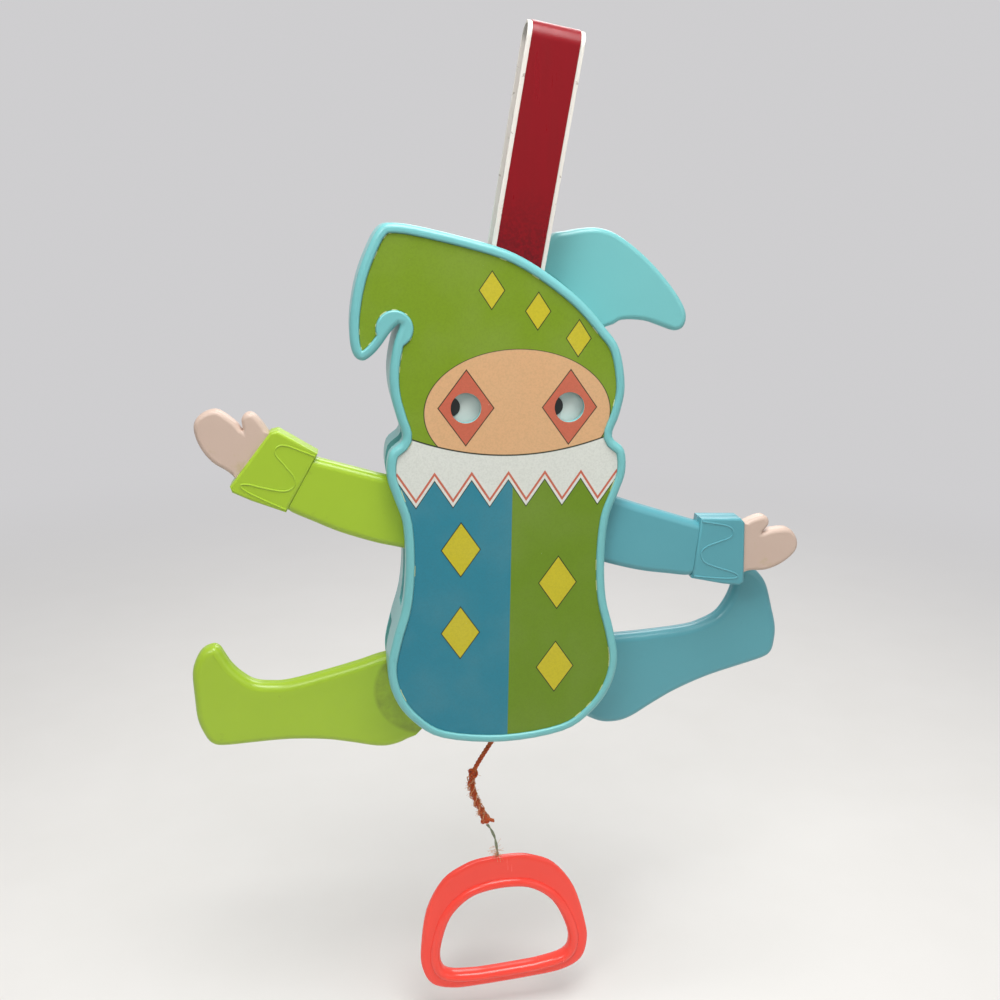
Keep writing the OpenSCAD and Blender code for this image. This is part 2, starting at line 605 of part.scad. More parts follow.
hung() front_shell();
hung() back_shell();
hung() front_label();
hung() strap_core();
hung() strap_facing();
hung() strap_pin();
hung() shoulder_pin(-1);  // left_shoulder_pin
hung() shoulder_pin(1);  // right_shoulder_pin
hung() hip_pin(-1);  // left_hip_pin
hung() hip_pin(1);  // right_hip_pin
hung() shoulder_washers();
hung() hip_washers();
hung() case_screws();
hung() cord_eyelet();
hung() eye_pivot_pin();
hung() bar_guide(upper_guide_z);  // upper_bar_guide
hung() bar_guide(lower_guide_z);  // lower_bar_guide
hung() pull_bar();
hung() yoke(arm_yoke_z);  // arm_yoke
hung() yoke(leg_yoke_z);  // leg_yoke
hung() yoke_rivets();
hung() eye_drive_pin();
hung() pull_cord_inner();
hung() bar_knot();
hung() pull_cord();
hung() cord_knot();
hung() tie_thread();
hung() pull_ring();
hung() arm_front_half(-1);  // left_arm_front
hung() arm_back_half(-1);  // left_arm_back
hung() hand(-1);  // left_hand
hung() arm_crank_pin(-1);  // left_arm_crank_pin
hung() arm_front_half(1);  // right_arm_front
hung() arm_back_half(1);  // right_arm_back
hung() hand(1);  // right_hand
hung() arm_crank_pin(1);  // right_arm_crank_pin
hung() leg_front_half(-1);  // left_leg_front
hung() leg_back_half(-1);  // left_leg_back
hung() leg_crank_pin(-1);  // left_leg_crank_pin
hung() leg_front_half(1);  // right_leg_front
hung() leg_back_half(1);  // right_leg_back
hung() leg_crank_pin(1);  // right_leg_crank_pin
hung() eye_plate();
hung() eye_pupils();
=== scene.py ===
# %% [markdown]
# # A pull string jumping jack
# The toy is a flat figure in a hollow plastic case. A ring on a cord pulls an inner bar, which
# swings the arms and legs and rocks the eyes behind two windows. The CAD frame holds every part at
# its real size, so this script only gives the visible parts their soft edges, print and finishes.

import math
import random

import bmesh
import bpy
from mathutils import Matrix, Vector


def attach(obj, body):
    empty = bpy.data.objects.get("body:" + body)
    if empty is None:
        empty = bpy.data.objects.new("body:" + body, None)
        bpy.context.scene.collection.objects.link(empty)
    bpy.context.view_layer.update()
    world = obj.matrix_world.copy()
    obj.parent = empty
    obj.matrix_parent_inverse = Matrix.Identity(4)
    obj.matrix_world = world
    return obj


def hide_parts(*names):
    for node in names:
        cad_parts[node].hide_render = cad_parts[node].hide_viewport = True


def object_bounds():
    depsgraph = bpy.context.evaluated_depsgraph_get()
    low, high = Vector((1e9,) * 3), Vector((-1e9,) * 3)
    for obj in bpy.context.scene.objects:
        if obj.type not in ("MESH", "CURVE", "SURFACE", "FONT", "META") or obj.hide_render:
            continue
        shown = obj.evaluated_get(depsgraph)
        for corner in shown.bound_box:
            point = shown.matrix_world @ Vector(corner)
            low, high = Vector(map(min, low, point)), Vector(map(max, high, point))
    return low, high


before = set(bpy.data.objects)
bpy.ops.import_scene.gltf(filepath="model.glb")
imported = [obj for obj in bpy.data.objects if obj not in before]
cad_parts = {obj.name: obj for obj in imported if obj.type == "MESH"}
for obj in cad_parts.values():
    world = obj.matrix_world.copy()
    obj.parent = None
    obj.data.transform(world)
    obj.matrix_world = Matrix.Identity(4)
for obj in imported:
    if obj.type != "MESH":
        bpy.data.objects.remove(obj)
scene = bpy.context.scene
cad_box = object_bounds()
print("CAD box:", [[round(v, 4) for v in corner] for corner in cad_box])

# %% [markdown]
# The CAD source measures x and z from the bottom of the case and depth backwards from the label, in
# millimetres. The frame's origin is the point of the strap that a hook bears on. One function turns
# the first into the second, so sizes below can be read beside the source. All lengths below are in
# millimetres unless they are marked as metres.

# %% From the case's millimetres to the frame's metres
MM = 0.001
HANG = Vector((18.40479, 12.5, 330.6457))


def place(x, depth, z):
    return (Vector((x, depth, z)) - HANG) * MM


def linked(name, data):
    """A new object in the scene."""
    made = bpy.data.objects.new(name, data)
    scene.collection.objects.link(made)
    return made


print("The case's bottom is at", [round(v, 4) for v in place(0, 0, 0)])

# %% [markdown]
# The camera stands a little to the figure's right and above it, close enough for strong
# perspective. A 36 mm lens on a 36 mm sensor sees a field as wide as it is far away, which is what
# the picture shows.

# %% Camera
YAW, ELEVATION, ROLL = math.radians(9), math.radians(15.4), math.radians(1)
AIM, AWAY_M, CLIP_M = place(-3.8, 0, 126), 0.467, 0.01
LENS, SENSOR = 36, 36

level = math.cos(ELEVATION)
back = Vector((-math.sin(YAW) * level, -math.cos(YAW) * level, math.sin(ELEVATION)))
right = Vector((0, 0, 1)).cross(back).normalized()
up = back.cross(right)
right, up = (
    right * math.cos(ROLL) + up * math.sin(ROLL),
    up * math.cos(ROLL) - right * math.sin(ROLL),
)
camera = linked("camera", bpy.data.cameras.new("camera"))
camera.data.lens = LENS
camera.data.sensor_width = SENSOR
camera.data.clip_start = CLIP_M
turned = Matrix((right, up, back)).transposed().to_4x4()
camera.matrix_world = Matrix.Translation(AIM + back * AWAY_M) @ turned
scene.camera = camera
scene.view_settings.view_transform = "Standard"
print("Camera at", [round(v, 3) for v in camera.matrix_world.translation])

# %% [markdown]
# ## Helpers for meshes
# Every finished piece sits at the origin with its place in its mesh, rides on a body, takes the
# finish that it is given and hides the CAD nodes that it covers. Flat faces beside rounded edges
# keep flat shading with a Weighted Normal modifier.

# %% Finish a piece
SHARP = math.radians(40)


def piece_of(name, mesh, body, slot, finish, nodes=()):
    piece = linked(name, mesh)
    mesh.shade_smooth()
    mesh.set_sharp_from_angle(angle=SHARP)
    mesh.materials.clear()
    mesh.materials.append(finish)
    flat = piece.modifiers.new("flat faces", "WEIGHTED_NORMAL")
    flat.keep_sharp = True
    flat.weight = 100
    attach(piece, body)
    if nodes:
        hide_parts(*nodes)
    return piece


# %% [markdown]
# Rods that bend, such as strands, beads and fibres, start as poly curves with a round bevel and are
# made a mesh at once. A list of lines gives one mesh, so a twine of several strands is one piece.


# %% Round rods along lines
def rods(name, lines, radius, sides, closed=False):
    curve = bpy.data.curves.new(name, "CURVE")
    curve.dimensions = "3D"
    curve.bevel_depth = radius * MM
    curve.bevel_resolution = sides
    curve.use_fill_caps = True
    for line in lines:
        spline = curve.splines.new("POLY")
        spline.points.add(len(line) - 1)
        spline.use_cyclic_u = closed
        for point, co in zip(spline.points, line):
            point.co = (*co, 1)
    holder = bpy.data.objects.new(name, curve)
    mesh = bpy.data.meshes.new_from_object(holder)
    bpy.data.objects.remove(holder)
    return mesh


def curve_through(points, steps, closed=False):
    """A smooth line through points, with some steps between each two."""
    count = len(points)
    line = []
    for i in range(count if closed else count - 1):
        near = range(i - 1, i + 3)
        near = [j % count if closed else min(max(j, 0), count - 1) for j in near]
        a, b, c, d = (Vector(points[j]) for j in near)
        bend, twist = 2 * a - 5 * b + 4 * c - d, 3 * b - a - 3 * c + d
        for k in range(steps):
            t = k / steps
            line.append(0.5 * (2 * b + (c - a) * t + bend * t**2 + twist * t**3))
    return line if closed else line + [Vector(points[-1])]


# %% [markdown]
# ## Finishes
# Each finish starts from a real material. Colours are written as sRGB hex, as a picture shows them,
# and one function turns them to the linear values that the shader wants. One more function adds a
# node with its settings and inputs and gives back its output, ready to feed the next node.

# %% Colour and node helpers
COLOURS = {"data_type": "RGBA"}  # makes a Mix node mix colours


def linear(code):
    parts = [int(code[i : i + 2], 16) / 255 for i in (1, 3, 5)]
    return [v / 12.92 if v <= 0.04045 else ((v + 0.055) / 1.055) ** 2.4 for v in parts] + [1]


def join(tree, node, inputs):
    """Feed a node's inputs: a socket is linked, and anything else is a constant."""
    for key, value in inputs.items():
        if isinstance(value, bpy.types.NodeSocket):
            tree.links.new(value, node.inputs[key])
        else:
            node.inputs[key].default_value = value


def add(tree, kind, inputs, out=None, **settings):
    """A new node, given back as its output: the one named, or the first in use."""
    node = tree.nodes.new(kind)
    for key, value in settings.items():
        setattr(node, key, value)
    join(tree, node, inputs)
    return node.outputs[out] if out else next(o for o in node.outputs if o.enabled)


def new_finish(name):
    """A material with only its shader and output, and the place of a point on the piece."""
    finish = bpy.data.materials.new(name)
    finish.use_nodes = True
    tree = finish.node_tree
    where = add(tree, "ShaderNodeTexCoord", {}, out="Object")
    return finish, tree, tree.nodes["Principled BSDF"], where


def per_mm(size):
    """A texture's scale for features of a size in millimetres, on coordinates in metres."""
    return 1 / (size * MM)


# %% [markdown]
# Moulded polypropylene has an even colour with faint flow clouds, a fine orange peel and, on a toy
# of this age, fine rub marks that are duller and a little lighter than the rest, and some dirt in
# patches. The peel is really about 0.3 mm across; it is drawn at 0.9 mm so that it shows. Where a
# leg slides under the case it is scuffed in an arc round its hip.

# %% Scuffs on plastic
CLOUD, STROKE, PATCH, PEEL = 38, (0.9, 6, 9), 13, 0.9
STROKE_TURN = (0.3, 0.7, 0.4)
RUBBED, GRIMED, PEEL_DEPTH = 0.1, 0.42, 0.2


def scuffed_arc(tree, where, patches, x, z, reach):
    """How far a point is scuffed: blotches of dirt within reach of a hinge."""
    offset = add(
        tree, "ShaderNodeVectorMath", {0: where, 1: place(x, 0, z)}, operation="SUBTRACT"
    )
    flat = add(tree, "ShaderNodeVectorMath", {0: offset, 1: (1, 0, 1)}, operation="MULTIPLY")
    away = add(tree, "ShaderNodeVectorMath", {0: flat}, operation="LENGTH")
    arc = add(
        tree,
        "ShaderNodeMapRange",
        {
            "Value": away,
            "From Min": (reach - 1) * MM,
            "From Max": (reach + 1) * MM,
            "To Min": 1,
            "To Max": 0,
        },
    )
    blotch = add(
        tree,
        "ShaderNodeMapRange",
        {"Value": patches, "From Min": 0.3, "From Max": 0.6, "To Min": 0.12, "To Max": 0.62},
    )
    return add(tree, "ShaderNodeMath", {0: arc, 1: blotch}, operation="MULTIPLY")


# %% Moulded plastic
def moulded_plastic(name, colour, cloud, rub, dirt, rough=0.3, dirt_level=0.66, swept=None):
    """A plastic of four colours; swept gives x, z and reach of a scuffed arc."""
    finish, tree, shader, where = new_finish(name)
    clouds = add(tree, "ShaderNodeTexNoise", {"Vector": where, "Scale": per_mm(CLOUD), "Detail": 3})
    tone = add(
        tree,
        "ShaderNodeMix",
        {"Factor": clouds, "A": linear(colour), "B": linear(cloud)},
        **COLOURS,
    )

    lay = add(
        tree,
        "ShaderNodeMapping",
        {"Vector": where, "Rotation": STROKE_TURN, "Scale": [per_mm(size) for size in STROKE]},
    )
    strokes = add(tree, "ShaderNodeTexNoise", {"Vector": lay, "Scale": 1, "Detail": 4})
    rubs = add(
        tree,
        "ShaderNodeMapRange",
        {"Value": strokes, "From Min": 0.62, "From Max": 0.8, "To Max": RUBBED},
    )
    areas = add(tree, "ShaderNodeMapRange", {"Value": clouds, "From Min": 0.52, "From Max": 0.66})
    rubs = add(tree, "ShaderNodeMath", {0: rubs, 1: areas}, operation="MULTIPLY")
    tone = add(tree, "ShaderNodeMix", {"Factor": rubs, "A": tone, "B": linear(rub)}, **COLOURS)
    dull = add(
        tree,
        "ShaderNodeMapRange",
        {"Value": rubs, "From Max": RUBBED, "To Min": rough, "To Max": rough + 0.22},
    )

    patches = add(
        tree,
        "ShaderNodeTexNoise",
        {"Vector": where, "Scale": per_mm(PATCH), "Detail": 6, "Roughness": 0.68},
    )
    grime = add(
        tree,
        "ShaderNodeMapRange",
        {"Value": patches, "From Min": dirt_level, "From Max": dirt_level + 0.12, "To Max": GRIMED},
    )
    tone = add(tree, "ShaderNodeMix", {"Factor": grime, "A": tone, "B": linear(dirt)}, **COLOURS)
    if swept:
        scuff = scuffed_arc(tree, where, patches, *swept)
        tone = add(
            tree, "ShaderNodeMix", {"Factor": scuff, "A": tone, "B": linear(dirt)}, **COLOURS
        )

    peel = add(tree, "ShaderNodeTexNoise", {"Vector": where, "Scale": per_mm(PEEL), "Detail": 2})
    bump = add(
        tree, "ShaderNodeBump", {"Height": peel, "Strength": 0.12, "Distance": PEEL_DEPTH * MM}
    )
    join(tree, shader, {"Base Color": tone, "Roughness": dull, "Normal": bump})
    join(tree, shader, {"IOR": 1.49, "Specular IOR Level": 0.6})
    return finish


# %% [markdown]
# The colours of each plastic are its own, its clouds', its rub marks' and its dirt's. Only the lime
# leg shows its scuffed hip, so only lime is swept.

# %% The plastics
HIP_SCUFF = (-38, 21, 25)
shell_plastic = moulded_plastic(
    "polypropylene_turquoise", "#72BCBE", "#79C3C2", "#A2D4D2", "#4F8E8C"
)
limb_plastic = moulded_plastic(
    "polypropylene_blue_turquoise", "#559EA9", "#5CA6B0", "#86C2C8", "#386E76"
)
lime_plastic = moulded_plastic(
    "polypropylene_lime", "#9EBF28", "#A5C62E", "#BFDA66", "#6B7A1E", swept=HIP_SCUFF
)
hand_plastic = moulded_plastic(
    "polyethylene_pale_pink", "#C9B0A0", "#CFB8A8", "#DCCBBE", "#B7A86A",
    rough=0.46, dirt_level=0.6,
)
ring_plastic = moulded_plastic(
    "polypropylene_coral_red", "#FF4333", "#FF4A39", "#FF8474", "#C23A2C",
    rough=0.22, dirt_level=0.7,
)
inner_plastic = moulded_plastic(
    "acetal_natural_white", "#E0DDD2", "#E6E3D9", "#EFEDE6", "#B9B3A0", rough=0.42
)
eye_plastic = moulded_plastic(
    "polystyrene_eye_white", "#D6DED8", "#DCE4DE", "#E8EEEA", "#AEB7AC", rough=0.3
)
pupil_ink = moulded_plastic(
    "pad_printed_black_ink", "#0B0D0C", "#101312", "#1C1F1E", "#060706", rough=0.4
)
print("Moulded finishes:", len([m for m in bpy.data.materials if m.name.startswith("poly")]))

# %% [markdown]
# The strap is vinyl: a white core with a red facing welded on each side. Calendered vinyl has a
# fine pebble grain of about 1 mm, a soft sheen and darker rubbed streaks along its length. Low
# down, where it goes into the case, it is speckled with dirt.

# %% Dirt on vinyl
STRAP_FOOT, FOOT_H, STRAP_LEAN = 236, 30, math.radians(-9)
STREAK, NICK, SPECK, PEBBLE, PEBBLE_DEPTH = (5, 5, 40), 4, 1.2, 1, 0.2


def foot_dirt(tree, where, dirt):
    """Specks of dirt that thin out from the strap's foot upwards."""
    high = add(tree, "ShaderNodeSeparateXYZ", {"Vector": where}, out="Z")
    foot = place(0, 0, STRAP_FOOT).z
    low = add(
        tree,
        "ShaderNodeMapRange",
        {
            "Value": high,
            "From Min": foot,
            "From Max": foot + FOOT_H * MM,
            "To Min": dirt,
            "To Max": 0,
        },
    )
    specks = add(tree, "ShaderNodeTexNoise", {"Vector": where, "Scale": per_mm(SPECK), "Detail": 3})
    specks = add(tree, "ShaderNodeMapRange", {"Value": specks, "From Min": 0.35, "From Max": 0.6})
    return add(tree, "ShaderNodeMath", {0: low, 1: specks}, operation="MULTIPLY")


# %% Vinyl
def calendered_vinyl(name, colour, shade, mark, rough, wear, dirt):
    finish, tree, shader, where = new_finish(name)
    lay = add(
        tree,
        "ShaderNodeMapping",
        {
            "Vector": where,
            "Rotation": (0, STRAP_LEAN, 0),
            "Scale": [per_mm(size) for size in STREAK],
        },
    )
    streaks = add(
        tree, "ShaderNodeTexNoise", {"Vector": lay, "Scale": 1, "Detail": 5, "Roughness": 0.6}
    )
    tone = add(
        tree,
        "ShaderNodeMix",
        {"Factor": streaks, "A": linear(colour), "B": linear(shade)},
        **COLOURS,
    )
    dull = add(
        tree,
        "ShaderNodeMapRange",
        {
            "Value": streaks,
            "From Min": 0.3,
            "From Max": 0.7,
            "To Min": rough,
            "To Max": rough + 0.14,
        },
    )

    nicks = add(
        tree,
        "ShaderNodeTexNoise",
        {"Vector": where, "Scale": per_mm(NICK), "Detail": 5, "Roughness": 0.7},
    )
    nicks = add(
        tree,
        "ShaderNodeMapRange",
        {"Value": nicks, "From Min": wear, "From Max": wear + 0.04, "To Max": 0.6},
    )
    tone = add(tree, "ShaderNodeMix", {"Factor": nicks, "A": tone, "B": linear(mark)}, **COLOURS)

    grime = foot_dirt(tree, where, dirt)
    tone = add(tree, "ShaderNodeMix", {"Factor": grime, "A": tone, "B": linear(mark)}, **COLOURS)

    grain = add(tree, "ShaderNodeTexVoronoi", {"Vector": where, "Scale": per_mm(PEBBLE)})
    bump = add(
        tree, "ShaderNodeBump", {"Height": grain, "Strength": 0.1, "Distance": PEBBLE_DEPTH * MM}
    )
    join(tree, shader, {"Base Color": tone, "Roughness": dull, "Normal": bump})
    join(tree, shader, {"IOR": 1.53, "Specular IOR Level": 0.27})
    return finish


red_vinyl = calendered_vinyl(
    "vinyl_red", "#8C0A18", "#7C0711", "#4A0A10", rough=0.26, wear=0.66, dirt=0.62
)
white_vinyl = calendered_vinyl(
    "vinyl_white", "#E9E6DF", "#DEDACF", "#8E8070", rough=0.45, wear=0.62, dirt=0.1
)
print("Vinyl:", red_vinyl.name, "and", white_vinyl.name)

# %% [markdown]
# Twine is spun from many fibres, so its colour changes from fibre to fibre along the lay. Fine
# noise drawn at 0.5 mm gives the fibres, broad noise the faded and dirty lengths. It has no gloss.

# %% Twine
FIBRE, FADED_LENGTH, FIBRE_DEPTH = 0.5, 7, 0.3


def spun_twine(name, colour, faded, dark):
    finish, tree, shader, where = new_finish(name)
    fibres = add(tree, "ShaderNodeTexNoise", {"Vector": where, "Scale": per_mm(FIBRE), "Detail": 4})
    tone = add(
        tree, "ShaderNodeMix", {"Factor": fibres, "A": linear(dark), "B": linear(colour)}, **COLOURS
    )
    lengths = add(
        tree, "ShaderNodeTexNoise", {"Vector": where, "Scale": per_mm(FADED_LENGTH), "Detail": 3}
    )
    fade = add(
        tree,
        "ShaderNodeMapRange",
        {"Value": lengths, "From Min": 0.5, "From Max": 0.75, "To Max": 0.7},
    )
    tone = add(tree, "ShaderNodeMix", {"Factor": fade, "A": tone, "B": linear(faded)}, **COLOURS)
    bump = add(
        tree, "ShaderNodeBump", {"Height": fibres, "Strength": 0.4, "Distance": FIBRE_DEPTH * MM}
    )
    join(tree, shader, {"Base Color": tone, "Normal": bump})
    join(tree, shader, {"Roughness": 0.92, "Sheen Weight": 0.25})
    return finish


cord_twine = spun_twine("nylon_twine_orange", "#D9581A", "#DC9248", "#8A2E0A")
faded_fibre = spun_twine("nylon_fibre_faded", "#E2A878", "#EFD2B4", "#C0703C")
thread_twine = spun_twine("cotton_thread_grey_green", "#9AA287", "#B9AE8C", "#6E765E")
print("Twine:", cord_twine.name, faded_fibre.name, thread_twine.name)

# %% [markdown]
# The pins and screws are drawn steel wire, which keeps fine lines round its length, and the eyelet
# is pressed brass with a thin dull skin. Both show only through the slots and at the back.

# %% Metals
DRAWN_LINE = (0.6, 8, 0.6)


def drawn_metal(name, colour, shade, rough):
    finish, tree, shader, where = new_finish(name)
    lay = add(
        tree, "ShaderNodeMapping", {"Vector": where, "Scale": [per_mm(size) for size in DRAWN_LINE]}
    )
    streaks = add(tree, "ShaderNodeTexNoise", {"Vector": lay, "Scale": 1, "Detail": 3})
    tone = add(
        tree,
        "ShaderNodeMix",
        {"Factor": streaks, "A": linear(colour), "B": linear(shade)},
        **COLOURS,
    )
    dull = add(
        tree, "ShaderNodeMapRange", {"Value": streaks, "To Min": rough, "To Max": rough + 0.2}
    )
    join(tree, shader, {"Base Color": tone, "Roughness": dull, "Metallic": 1})
    return finish


pin_steel = drawn_metal("drawn_steel", "#B8BABC", "#9A9CA0", 0.25)
eyelet_brass = drawn_metal("pressed_brass", "#C9B26B", "#A68E4C", 0.3)
print("Metals:", pin_steel.name, "and", eyelet_brass.name)

# %% [markdown]
# ## The cord
# The cord leaves the eyelet at the bottom of the case, kinks to one side and ends in a frayed knot.
# Its line repeats the route of the CAD source, in shares of the drop from the case to the ring.

# %% The cord's line
RING_DROP, CORD_DEPTH, LINE_STEPS = 83, 24.5, 4
CORD_SHARES = [
    (0, -0.013), (0, -0.056), (-0.001, -0.101), (-0.031, -0.162), (-0.077, -0.239),
    (-0.127, -0.331), (-0.155, -0.415), (-0.148, -0.493), (-0.12, -0.577), (-0.08, -0.667),
]
THREAD_SHARES = [
    (-0.046, -0.754), (-0.024, -0.789), (0.001, -0.845),
    (0.014, -0.901), (0.0225, -0.958), (0.025, -0.99),
]
KNOT_SHARE = (-0.062, -0.71)


def on_cord(share):
    return place(share[0] * RING_DROP, CORD_DEPTH, share[1] * RING_DROP)


cord_line = curve_through([on_cord(share) for share in CORD_SHARES], LINE_STEPS)
thread_line = curve_through([on_cord(share) for share in THREAD_SHARES], LINE_STEPS)

# %% [markdown]
# The twine is three strands laid round that line, and the thread that ties the ring on is two.

# %% Strands laid round a line
TWINE, TWINE_R = {"count": 3, "offset": 0.6, "pitch": 6.2}, 0.68
THREAD, THREAD_R = {"count": 2, "offset": 0.4, "pitch": 14}, 0.4


def strands(line, count, offset, pitch, steps=6):
    """Helices round a line, one for each strand."""
    fine = curve_through(line, steps)
    result = [[] for _ in range(count)]
    gone = 0
    for i, point in enumerate(fine):
        ahead = (fine[min(i + 1, len(fine) - 1)] - fine[max(i - 1, 0)]).normalized()
        side = ahead.cross(Vector((0, 1, 0))).normalized()
        depth = ahead.cross(side)
        gone += (point - fine[i - 1]).length / MM if i else 0
        for k in range(count):
            turn = 2 * math.pi * (gone / pitch + k / count)
            out = side * math.cos(turn) + depth * math.sin(turn)
            result[k].append(point + out * offset * MM)
    return result


def pull_piece(name, lines, radius, finish, nodes=(), slot="cord_twine", sides=2, closed=False):
    """A piece of twine that moves with the pull."""
    return piece_of(name, rods(name, lines, radius, sides, closed), "pull", slot, finish, nodes)


cord_strands, thread_strands = strands(cord_line, **TWINE), strands(thread_line, **THREAD)
twine = pull_piece("pull_cord_twine", cord_strands, TWINE_R, cord_twine, ["pull_cord"])
thread = pull_piece(
    "tie_thread_twine", thread_strands, THREAD_R, thread_twine, ["tie_thread"], "thread_twine"
)
print("Strands:", len(cord_strands), "in the cord,", len(thread_strands), "in the thread")

# %% [markdown]
# Below its kink the cord is doubled and frayed. A pulled knot sits at the kink and another at the
# end, with a short stub beside it. Two strands and three thin ones wind round the cord between
# them. What strays is drawn from a fixed seed, so every run is alike.

# %% Knots and loose strands
draw = random.Random(7)
KINK_STEP, TANGLE_STEPS, TANGLE_SIZE = 22, 60, 1.3
KNOT = on_cord(KNOT_SHARE)
STUB = [KNOT + Vector(p) * MM for p in ((0, -1, 0), (2.4, -1.6, 0.2), (4.6, -1.4, -0.7))]


def tangle(centre, tall):
    """A closed line that winds over and under itself, as a pulled knot does."""
    line = []
    for i in range(TANGLE_STEPS):
        turn = 2 * math.pi * i / TANGLE_STEPS
        radius = 1 + 0.6 * math.cos(3 * turn)
        x, z = radius * math.cos(2 * turn), tall * radius * math.sin(2 * turn)
        line.append(centre + Vector((x, 0.9 * math.sin(3 * turn), z)) * TANGLE_SIZE * MM)
    return line


def stray(reach):
    """A short step in any direction."""
    return Vector([draw.uniform(-reach, reach) for _ in range(3)]) * MM


frayed = cord_line[KINK_STEP:] + [KNOT]
wrap = [[p + stray(0.12) for p in line] for line in strands(frayed, 2, 1.4, 12.5)]
thin = [[p + stray(0.3) for p in line] for line in strands(frayed, 3, 2.1, 17, steps=3)]
stub = strands(curve_through(STUB, LINE_STEPS), 3, 0.4, 5)
end_tangle, kink_tangle = [tangle(KNOT, 1.3)], [tangle(cord_line[KINK_STEP], 1.2)]
knot = pull_piece(
    "cord_knot_tangle", end_tangle, 0.85, cord_twine, ["cord_knot"], sides=3, closed=True
)
kink_knot = pull_piece("cord_kink_knot", kink_tangle, 0.8, cord_twine, sides=3, closed=True)
doubled = pull_piece("cord_doubled_end", wrap + stub, 0.62, cord_twine)
loose_strand = pull_piece("cord_loose_strand", thin, 0.26, faded_fibre, sides=1)
print("Loose strands:", len(wrap), "thick and", len(thin), "thin")

# %% [markdown]
# Fine faded fibres stand off the cord in all directions, few above the kink, many below it, and a
# tuft where the thread meets the ring. Each row gives a line, how many, how long and how spread.

# %% Fibres
FIBRE_R, ROOT, DROOP = 0.08, 0.8, 0.5
TUFTS = ((cord_line[10:], 36, 1.4, 1), (frayed, 190, 3.6, 1), (thread_line[-7:], 44, 5.5, 0.7))
fibres = []
for line, count, reach, spread in TUFTS:
    for _ in range(count):
        start = draw.choice(line)
        start = start + stray(ROOT)
        x, y, z = draw.uniform(-1, 1), draw.uniform(-1, 1), draw.uniform(-0.9, 0.7)
        way = Vector((x, y * spread, z * spread)).normalized()
        way = way * reach * draw.uniform(0.5, 1) * MM
        droop = Vector((draw.uniform(-ROOT, ROOT), 0, -DROOP)) * MM
        fibres.append([start, start + way * 0.5 + droop * 0.3, start + way + droop])
fray = pull_piece("cord_fray", fibres, FIBRE_R, faded_fibre, sides=0)
print("Fibres:", len(fibres))

# %% [markdown]
# ## Softened mouldings
# A moulded part has rounded outer edges. The CAD solids have sharp ones, so a merged copy of each
# solid gets its outline bevelled. Bores for pins and screws keep their edges, so their places are
# worked out first: shoulders, hips, case screws and the crank pin of each limb.

# %% Places that keep their edges
SHELL_HALF_W, KEEP_CLEAR = 57, 5.2
SHOULDER_X, SHOULDER_Z = 0.579 * SHELL_HALF_W, 112.5
HIP_X, HIP_Z = 0.737 * SHELL_HALF_W, 26
ARM_ANGLES, LEG_ANGLES = (18.5, -15), (-2.5, 16.5)
SCREWS = [(-0.63, 68), (0.63, 68), (-0.525, 204), (0.49, 204)]
LIMBS = [(SHOULDER_X, SHOULDER_Z, 13, ARM_ANGLES), (HIP_X, HIP_Z, 20, LEG_ANGLES)]
BORES = [(share * SHELL_HALF_W, z) for share, z in SCREWS]
for x, z, crank, angles in LIMBS:
    for side, angle in zip((-1, 1), angles):
        turn = math.radians(angle)
        BORES.append((side * x, z))
        BORES.append((side * (x - crank * math.cos(turn)), z - crank * math.sin(turn)))
print("Bores:", len(BORES))

# %% [markdown]
# Which edges take part is told by the depth of the face that they border. A rule is that depth, a
# width, a number of segments and, where it is needed, a test of the edge. Without a depth, all
# edges that turn sharply take part.

# %% Choose edges
MERGE_M, LEVEL_M = 2e-6, 2e-5
FLAT_TURN, SHARP_TURN = math.radians(0.6), 1


def borders(edge, depth):
    """Whether an edge runs round a flat face at a depth, as an outline does."""
    level = (depth - HANG.y) * MM
    if any(abs(v.co.y - level) > LEVEL_M for v in edge.verts):
        return False
    across = sorted(abs(f.normal.y) for f in edge.link_faces)
    return across[0] < 0.3 and across[1] > 0.99


def wall_depth(edge):
    """How far back the upright wall beside an outline's edge reaches."""
    wall = min(edge.link_faces, key=lambda f: abs(f.normal.y))
    spread = [v.co.y for v in wall.verts]
    return (max(spread) - min(spread)) / MM


def chosen_edges(work, depth, tests, keep):
    """The outer edges that a rule bevels."""
    chosen = []
    for edge in work.edges:
        if len(edge.link_faces) != 2 or not edge.is_convex:
            continue
        sharp = edge.calc_face_angle() >= SHARP_TURN if depth is None else borders(edge, depth)
        if not sharp:
            continue
        middle = (edge.verts[0].co + edge.verts[1].co) / 2 / MM + HANG
        if any(math.hypot(middle.x - x, middle.z - z) < KEEP_CLEAR for x, z in BORES):
            continue
        if all(test(edge) for test in tests) and not (keep and keep(middle)):
            chosen.append(edge)
    return chosen


# %% Soften a solid
def softened(node, rules, keep=None):
    """A merged copy of a node with its outlines bevelled, except at the places to keep."""
    work = bmesh.new()
    work.from_mesh(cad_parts[node].data)
    bmesh.ops.remove_doubles(work, verts=work.verts, dist=MERGE_M)
    bmesh.ops.dissolve_limit(work, angle_limit=FLAT_TURN, verts=work.verts, edges=work.edges)
    for depth, width, segments, *tests in rules:
        chosen = chosen_edges(work, depth, tests, keep)
        bmesh.ops.bevel(
            work,
            geom=chosen,
            offset=width * MM,
            offset_type="OFFSET",
            affect="EDGES",
            segments=segments,
            profile=0.5,
            material=-1,
            clamp_overlap=False,
            loop_slide=True,
        )
        print(node, "at depth", depth, "bevels", len(chosen), "edges")
    bmesh.ops.remove_doubles(work, verts=work.verts, dist=MERGE_M)
    mesh = bpy.data.meshes.new(node + "_soft")
    work.to_mesh(mesh)
    work.free()
    return mesh


# %% [markdown]
# The front half of the case has a rounded rim that stands proud of the label; the outer corner is
# round and the inner one is only broken. The back half carries the cap's second horn.

